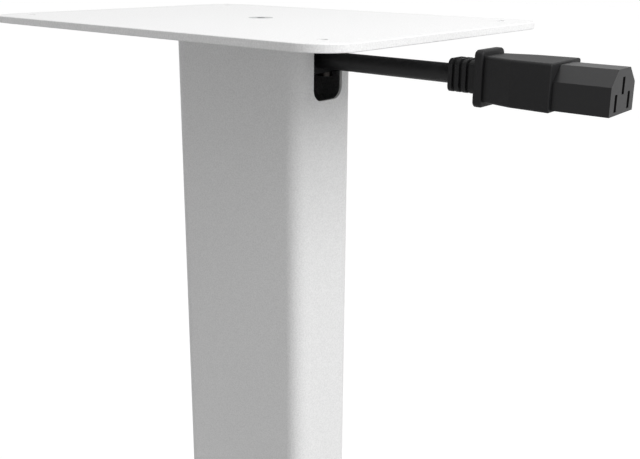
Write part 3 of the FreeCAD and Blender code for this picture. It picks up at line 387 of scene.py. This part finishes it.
# ---------------------------------------------------------------- feet
# Each pad is the clamp's nylon with a rubber sole bonded under it, and a zinc-plated stud screws
# it up and down. The rubber is dull, with the pitting of a sparked mould: pits of 1.2 mm, drawn
# coarser than real ones.
RUBBER_PIT = 0.0012
sole_rubber, tree, place = start_material("moulded_rubber")
pits = add_node(tree, "ShaderNodeTexNoise", {"Vector": place, "Scale": 1 / RUBBER_PIT, "Detail": 3})
tint = add_node(tree, "ShaderNodeMix", {"Factor": pits.outputs["Fac"], "A": linear("#202020"),
                                        "B": linear("#303030")}, data_type="RGBA")
surface = add_node(tree, "ShaderNodeBsdfPrincipled", {
    "Base Color": tint.outputs["Result"], "Roughness": 0.85, "IOR": 1.52})
add_node(tree, "ShaderNodeOutputMaterial", {"Surface": surface.outputs["BSDF"]})
for corner in ("front_left", "front_right", "rear_left", "rear_right"):
    dress(moulded_nylon, f"foot_pad_{corner}")
    dress(sole_rubber, f"foot_sole_{corner}")
    dress(zinc_plate, f"foot_stud_{corner}")

# ---------------------------------------------------------------- floor and surroundings
# A pale studio floor under a white surround. Both read as white to the eye, to metal and to
# gloss, and the floor still takes the stand's shadow. For that the floor adds FLOOR_LIFT of its
# own light where it is seen directly, and scattered light comes from AMBIENT instead of white.
FLOOR_HALF = 14.0
FLOOR_GREY = "#B2B2B2"
FLOOR_LIFT = 0.66
AMBIENT = 0.37
WHITE = (1, 1, 1, 1)
floor_mesh = bpy.data.meshes.new("floor")
floor_corners = [(-FLOOR_HALF, -FLOOR_HALF, 0), (FLOOR_HALF, -FLOOR_HALF, 0),
                 (FLOOR_HALF, FLOOR_HALF, 0), (-FLOOR_HALF, FLOOR_HALF, 0)]
floor_mesh.from_pydata(floor_corners, [], [(0, 1, 2, 3)])
floor = bpy.data.objects.new("floor", floor_mesh)
bpy.context.scene.collection.objects.link(floor)


def seen_directly(tree):
    """1 for rays from the camera, from gloss and through glass, and 0 for scattered light."""
    path = add_node(tree, "ShaderNodeLightPath")
    first = add_node(tree, "ShaderNodeMath", {0: path.outputs["Is Camera Ray"],
                                              1: path.outputs["Is Glossy Ray"]}, operation="MAXIMUM")
    return add_node(tree, "ShaderNodeMath", {0: first.outputs[0],
                                             1: path.outputs["Is Transmission Ray"]},
                    operation="MAXIMUM").outputs[0]


studio_floor, tree = start_material("studio_floor")[:2]
matte = add_node(tree, "ShaderNodeBsdfDiffuse", {"Color": linear(FLOOR_GREY)})
lift = add_node(tree, "ShaderNodeEmission", {"Color": WHITE, "Strength": FLOOR_LIFT})
lit = add_node(tree, "ShaderNodeAddShader", {0: matte.outputs[0], 1: lift.outputs[0]})
shown = add_node(tree, "ShaderNodeMixShader", {0: seen_directly(tree), 1: matte.outputs[0],
                                               2: lit.outputs[0]})
add_node(tree, "ShaderNodeOutputMaterial", {"Surface": shown.outputs[0]})
floor_mesh.materials.append(studio_floor)

world = bpy.data.worlds.new("studio")
world.use_nodes = True
bpy.context.scene.world = world
tree = world.node_tree
tree.nodes.clear()
ambient = add_node(tree, "ShaderNodeBackground", {"Color": WHITE, "Strength": AMBIENT})
white = add_node(tree, "ShaderNodeBackground", {"Color": WHITE, "Strength": 1.0})
surround = add_node(tree, "ShaderNodeMixShader", {0: seen_directly(tree), 1: ambient.outputs[0],
                                                  2: white.outputs[0]})
add_node(tree, "ShaderNodeOutputWorld", {"Surface": surround.outputs[0]})


# ---------------------------------------------------------------- lamps
# A very soft key stands high beyond the rear, so that the slotted side is the brightest and the
# plate shades the column under it. A weaker lamp overhead lights the top plate, and a square
# panel beyond the connector lights that and the column's upper rear.
def add_lamp(name, kind, energy, way):
    """A lamp whose light comes from the given way."""
    lamp = bpy.data.objects.new(name, bpy.data.lights.new(name, kind))
    lamp.data.energy = energy
    lamp.rotation_euler = Vector(way).to_track_quat("Z", "Y").to_euler()
    bpy.context.scene.collection.objects.link(lamp)
    return lamp


KEY_WIDTH = math.radians(60)
key = add_lamp("soft_key", "SUN", energy=1.35, way=(0.12, 0.84, 0.53))
key.data.angle = KEY_WIDTH
OVERHEAD_WIDTH = math.radians(20)
overhead = add_lamp("overhead", "SUN", energy=0.6, way=(0.08, -0.28, 0.95))
overhead.data.angle = OVERHEAD_WIDTH
PANEL_PLACE = (0, 0.75, 1.25)
PANEL_SIDE = 0.5
panel = add_lamp("rear_panel", "AREA", energy=4.5, way=(0, 0.65, 0.6))
panel.data.size = PANEL_SIDE
panel.location = PANEL_PLACE
panel.visible_camera = False
